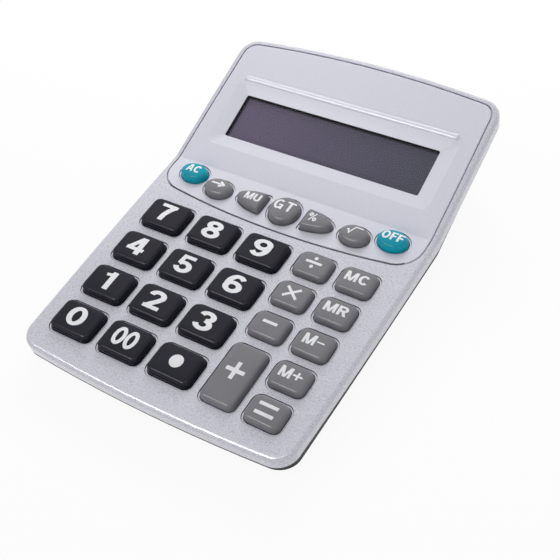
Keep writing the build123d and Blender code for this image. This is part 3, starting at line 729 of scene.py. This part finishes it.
def legend_mesh(ink, surface):
    """Ink as a thin closed layer that follows the key's top."""
    text, height, squeeze, spacing, shift = ink
    widths = sum(GLYPHS[sign][0] for sign in text) * squeeze
    half_x = (widths + spacing * len(text) + GRID_MARGIN_SHARE) * height / 2
    half_y = height * GRID_HALF_SHARE
    xs = np.arange(-half_x, half_x + INK_CELL, INK_CELL)
    ys = np.arange(-half_y, half_y + INK_CELL, INK_CELL)
    grid_x, grid_y = np.meshgrid(xs, ys)
    places = np.stack([grid_x.ravel(), grid_y.ravel()], 1) / height
    field = text_field(places, text, spacing, squeeze).reshape(grid_x.shape)
    mesh = bmesh.new()
    corners = {}

    def vertex(key, x, y):
        """The point of a grid corner or a cut side, made once and laid on the key's top."""
        if key not in corners:
            x, y = x + shift[0], y + shift[1]
            hit = surface.ray_cast(Vector((x, y, ABOVE_KEY)), Vector((0, 0, -1)))[0]
            corners[key] = mesh.verts.new((x, y, (hit.z if hit else 0) + INK_LIFT))
        return corners[key]

    for row in range(len(ys) - 1):
        for column in range(len(xs) - 1):
            cell = [(row, column), (row, column + 1), (row + 1, column + 1), (row + 1, column)]
            loop = []
            for here, there in zip(cell, cell[1:] + cell[:1]):
                a, b = field[here], field[there]
                ax, ay, bx, by = xs[here[1]], ys[here[0]], xs[there[1]], ys[there[0]]
                if a < 0:
                    loop.append(vertex(here, ax, ay))
                if (a < 0) != (b < 0):
                    share = a / (a - b)
                    key = tuple(sorted((here, there)))
                    loop.append(vertex(key, ax + (bx - ax) * share, ay + (by - ay) * share))
            if len(loop) > 2:
                mesh.faces.new(loop)
    sheet = list(mesh.faces)
    lower = bmesh.ops.extrude_face_region(mesh, geom=sheet)["geom"]
    for item in lower:
        if isinstance(item, bmesh.types.BMVert):
            item.co.z -= INK_DEPTH
    bmesh.ops.recalc_face_normals(mesh, faces=mesh.faces)
    return mesh


SHARP_EDGE = radians(35)


def add_piece(name, mesh, matrix, material, body):
    """Turns a bmesh into a piece that rides on a body."""
    data = bpy.data.meshes.new(name)
    mesh.to_mesh(data)
    mesh.free()
    data.transform(matrix)
    data.materials.append(material)
    for face in data.polygons:
        face.use_smooth = True
    data.set_sharp_from_angle(angle=SHARP_EDGE)
    piece = bpy.data.objects.new(name, data)
    bpy.context.scene.collection.objects.link(piece)
    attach(piece, body)
    return piece


# Kinds of key: lengths in millimetres, and the record's material slot
Kind = namedtuple("Kind", "outline height inset rounding crown slot")
DIGIT_HALF = (10.7, 7.9)
GREY_HALF = (8.15, 6.2)
PLUS_HALF = (8.15, 14.5)
OVAL_HALF = (7.05, 5.3)
ROUND_HALF = (7.4, 7.4)
LEAF_LENGTH = 14.2
LEAF_DEPTH = 5.4
LEAF_CORNER = 1.0
LEAF_MIDDLE = 5.6
DIGIT_CORNER = 3.1
GREY_CORNER = 3.0
DIGIT_SHAPE = dict(height=3.1, inset=0.55, rounding=1.4, crown=0.12, slot="black_key")
GREY_SHAPE = dict(height=2.9, inset=0.55, rounding=1.4, crown=0.14, slot="grey_key")
OVAL_SHAPE = dict(height=3.6, inset=0.7, rounding=1.9, crown=0.35)
ROUND_SHAPE = dict(height=3.6, inset=0.7, rounding=1.9, crown=0.4, slot="grey_key")
LEAF_SHAPE = dict(height=3.6, inset=0.7, rounding=1.4, crown=0.3, slot="grey_key")

PAD_DIGIT = Kind(pad_outline(DIGIT_HALF, DIGIT_CORNER), **DIGIT_SHAPE)
PAD_GREY = Kind(pad_outline(GREY_HALF, GREY_CORNER), **GREY_SHAPE)
PAD_PLUS = Kind(pad_outline(PLUS_HALF, GREY_CORNER), **GREY_SHAPE)
OVAL_GREY = Kind(oval_outline(OVAL_HALF), slot="grey_key", **OVAL_SHAPE)
OVAL_TEAL = Kind(oval_outline(OVAL_HALF), slot="teal_key", **OVAL_SHAPE)
ROUND_GREY = Kind(oval_outline(ROUND_HALF), **ROUND_SHAPE)
LEAF_LEFT, LEAF_RIGHT = (
    Kind(leaf_outline(LEAF_LENGTH, LEAF_DEPTH, side, LEAF_MIDDLE, LEAF_CORNER), **LEAF_SHAPE)
    for side in (-1, 1))

# Places of the keys on the deck, in millimetres
DIGIT_PLACE = (-47.7, -35.5)
DIGIT_PITCH = (26.0, 21.52)
GREY_PLACE = (28.6, -33.3)
GREY_PITCH = (20.8, 17.37)
PLUS_ROW = 3.5
TEAL_PLACE = (52.2, -7.2)
OVAL_PLACE = (35.7, -11.2)
LEAF_PLACE = (16.2, -11.2)
ROUND_PLACE = (0, -11.0)

# Legends: what they say, cap height and shift in millimetres, squeeze and spacing as shares
Ink = namedtuple("Ink", "text height squeeze spacing shift")
DIGIT_INK = (9.6, 1.27, 0.0, (-0.4, 0.6))

# Rows and columns: column, row, name and legend
DIGIT_ROWS = ("789", "456", "123", "0")
DIGIT_KEYS = [(column, row, digit, Ink(digit, *DIGIT_INK))
              for row, digits in enumerate(DIGIT_ROWS) for column, digit in enumerate(digits)]
DIGIT_KEYS += [
    (1, 3, "double_zero", Ink("00", 9.0, 0.86, 0.02, (0.0, 0.6))),
    (2, 3, "point", Ink(("point",), 6.2, 1.0, 0.0, (0.3, 0.6))),
]
GREY_KEYS = (
    (0, 0, "divide", Ink(("divide",), 7.2, 1.0, 0.0, (0.0, 0.8))),
    (0, 1, "multiply", Ink(("times",), 7.4, 1.0, 0.0, (0.0, 0.5))),
    (0, 2, "minus", Ink("-", 11.0, 1.0, 0.0, (0.0, 1.0))),
    (1, 0, "mc", Ink("MC", 4.8, 1.24, 0.12, (0.0, 1.0))),
    (1, 1, "mr", Ink("MR", 4.8, 1.24, 0.12, (0.0, 1.0))),
    (1, 2, "m_minus", Ink("M-", 4.9, 1.18, 0.10, (0.0, 1.0))),
    (1, 3, "m_plus", Ink("M+", 4.9, 1.18, 0.10, (0.0, 1.0))),
    (1, 4, "equals", Ink("=", 9.4, 1.0, 0.0, (0.0, 0.2))),
)
# Keys that stand alone: name, kind, place and legend
OTHER_KEYS = (
    ("plus", PAD_PLUS, (GREY_PLACE[0], GREY_PLACE[1] - PLUS_ROW * GREY_PITCH[1]),
     Ink("+", 11.6, 1.0, 0.0, (0.0, 1.4))),
    ("ac", OVAL_TEAL, (-TEAL_PLACE[0], TEAL_PLACE[1]), Ink("AC", 4.4, 1.0, 0.08, (0.0, 0.7))),
    ("off", OVAL_TEAL, TEAL_PLACE, Ink("OFF", 4.4, 1.03, 0.08, (0.0, 0.7))),
    ("backspace", OVAL_GREY, (-OVAL_PLACE[0], OVAL_PLACE[1]),
     Ink(("arrow",), 4.4, 1.3, 0.0, (0.0, 0.9))),
    ("root", OVAL_GREY, OVAL_PLACE, Ink(("root",), 4.6, 1.0, 0.0, (0.0, 0.9))),
    ("mu", LEAF_LEFT, (-LEAF_PLACE[0], LEAF_PLACE[1]), Ink("MU", 4.2, 1.05, 0.10, (0.0, 0.4))),
    ("percent", LEAF_RIGHT, LEAF_PLACE, Ink("%", 4.6, 1.0, 0.0, (-1.0, 0.5))),
    ("gt", ROUND_GREY, ROUND_PLACE, Ink("GT", 5.7, 1.06, 0.14, (-0.1, 1.2))),
)


def make_key(name, kind, place, ink):
    """A key's cap, which replaces the plain one, and its printed legend."""
    body = "key_" + name
    mesh = build_crown(*kind[:-1])
    surface = BVHTree.FromBMesh(mesh)
    matrix = DECK @ Matrix.Translation((*place, 0))
    cap = add_piece("cap_" + name, mesh, matrix, MATERIALS[kind.slot], body)
    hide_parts(body)
    legend = add_piece("legend_" + name, legend_mesh(ink, surface), matrix, LEGEND, body)


def make_keys():
    """The two blocks of keys in rows and columns, and then the others."""
    blocks = ((DIGIT_KEYS, PAD_DIGIT, DIGIT_PLACE, DIGIT_PITCH),
              (GREY_KEYS, PAD_GREY, GREY_PLACE, GREY_PITCH))
    for keys, kind, first, pitch in blocks:
        for column, row, name, ink in keys:
            place = (first[0] + column * pitch[0], first[1] - row * pitch[1])
            make_key(name, kind, place, ink)
    for name, kind, place, ink in OTHER_KEYS:
        make_key(name, kind, place, ink)


# Studio: places and sizes in metres
FLOOR_HALF = 12.0
FLOOR_TONE = (0.92, 0.92, 0.92, 1)
FLOOR_ROUGHNESS = 0.9
FLOOR_WHITE = 0.93
ZENITH_LIGHT = 0.0
HORIZON_LIGHT = 1.6
HORIZON_TOP = 0.6
WHITE = (1, 1, 1, 1)


def area_light(name, place, target, size, power, gloss=True, diffuse=True):
    """A soft lamp aimed at a point, which shows in gloss, in diffuse light or in both."""
    data = bpy.data.lights.new(name, "AREA")
    data.shape = "RECTANGLE"
    data.size, data.size_y = size
    data.energy = power
    lamp = bpy.data.objects.new(name, data)
    lamp.location = place
    lamp.visible_glossy = gloss
    lamp.visible_diffuse = diffuse
    lamp.rotation_euler = (Vector(target) - Vector(place)).to_track_quat("-Z", "Y").to_euler()
    bpy.context.scene.collection.objects.link(lamp)


def seen_directly(owner):
    """1 for what the camera sees, in gloss and through glass too, and 0 for diffuse light."""
    rays = node(owner, "ShaderNodeLightPath")
    seen = rays.outputs["Is Camera Ray"]
    for kind in ("Is Glossy Ray", "Is Transmission Ray"):
        seen = combine(owner, "MAXIMUM", seen, rays.outputs[kind])
    return seen


def floor_material():
    """A pale floor that is nearly white where it is seen and still takes a faint shadow."""
    material, shader = new_material("floor")
    shader.inputs["Base Color"].default_value = FLOOR_TONE
    shader.inputs["Roughness"].default_value = FLOOR_ROUGHNESS
    shader.inputs["Specular IOR Level"].default_value = 0.0
    white = node(material, "ShaderNodeEmission", color=WHITE)
    blend = node(material, "ShaderNodeMixShader")
    share = combine(material, "MULTIPLY", seen_directly(material), FLOOR_WHITE)
    link(material, share, blend.inputs["Fac"])
    link(material, shader.outputs["BSDF"], blend.inputs[1])
    link(material, white.outputs["Emission"], blend.inputs[2])
    output = material.node_tree.nodes["Material Output"]
    link(material, blend.outputs["Shader"], output.inputs["Surface"])
    return material


def make_floor():
    """One square at the height of the feet."""
    data = bpy.data.meshes.new("floor")
    half = FLOOR_HALF
    data.from_pydata([(-half, -half, 0), (half, -half, 0), (half, half, 0), (-half, half, 0)],
                     [], [(0, 1, 2, 3)])
    data.materials.append(floor_material())
    floor = bpy.data.objects.new("floor", data)
    bpy.context.scene.collection.objects.link(floor)


def make_world():
    """Light from low all around, which shows as plain white to the camera and in gloss."""
    world = bpy.data.worlds.new("studio")
    world.use_nodes = True
    bpy.context.scene.world = world
    seen = seen_directly(world)
    place = node(world, "ShaderNodeTexCoord")
    axes = node(world, "ShaderNodeSeparateXYZ")
    link(world, place.outputs["Generated"], axes.inputs["Vector"])
    light = spread(world, axes.outputs["Z"], HORIZON_LIGHT, ZENITH_LIGHT, 0.0, HORIZON_TOP)
    strength = node(world, "ShaderNodeMapRange", to_max=1.0)
    link(world, seen, strength.inputs["Value"])
    link(world, light, strength.inputs["To Min"])
    background = world.node_tree.nodes["Background"]
    link(world, strength.outputs["Result"], background.inputs["Strength"])
    background.inputs["Color"].default_value = WHITE


def make_camera():
    """The photograph's point of view."""
    data = bpy.data.cameras.new("camera")
    data.sensor_width = SENSOR
    data.lens = SENSOR * FOCAL_PIXELS / FRAME_PIXELS
    data.clip_start = CAMERA_NEAR
    place, target = Vector(CAMERA_PLACE), Vector(CAMERA_TARGET)
    aim = (target - place).to_track_quat("-Z", "Y").to_matrix()
    turn = Matrix.Rotation(DECK_TILT, 3, "X") @ aim @ Matrix.Rotation(CAMERA_ROLL, 3, "Z")
    camera = bpy.data.objects.new("camera", data)
    camera.matrix_world = Matrix.Translation(DECK @ place) @ turn.to_4x4()
    bpy.context.scene.collection.objects.link(camera)
    bpy.context.scene.camera = camera


make_camera()
make_world()
make_floor()
area_light("back_light", place=(-0.18, 0.46, 0.30), target=(0, 0, 0.02), size=(0.5, 0.2),
           power=2.6, gloss=False)
area_light("fill_light", place=(0.05, 0.36, 0.55), target=(0, 0.02, 0), size=(0.5, 0.3),
           power=0.3, gloss=False)
area_light("over_light", place=(0.1, 0.1, 0.7), target=(0, 0, 0), size=(0.5, 0.5),
           power=0.4, gloss=False)
area_light("mirror_light", place=(-0.47, 0.43, 0.77), target=(0, 0, 0), size=(0.4, 0.4),
           power=0.2)
area_light("left_light", place=(-0.45, -0.85, 0.22), target=(0, 0, 0.02), size=(0.5, 0.3),
           power=1.1, gloss=False)
area_light("edge_light", place=(-0.28, -0.48, 0.83), target=(0, 0, 0), size=(0.8, 0.22),
           power=4.6, diffuse=False)
area_light("top_light", place=(-0.24, -0.36, 0.90), target=(0, 0, 0), size=(0.7, 0.1),
           power=0.9)
area_light("corner_light", place=(0.25, -0.22, 0.95), target=(0, 0, 0), size=(0.2, 0.2),
           power=0.6)
dress_nodes()
make_keys()
bpy.context.scene.view_settings.view_transform = "Standard"
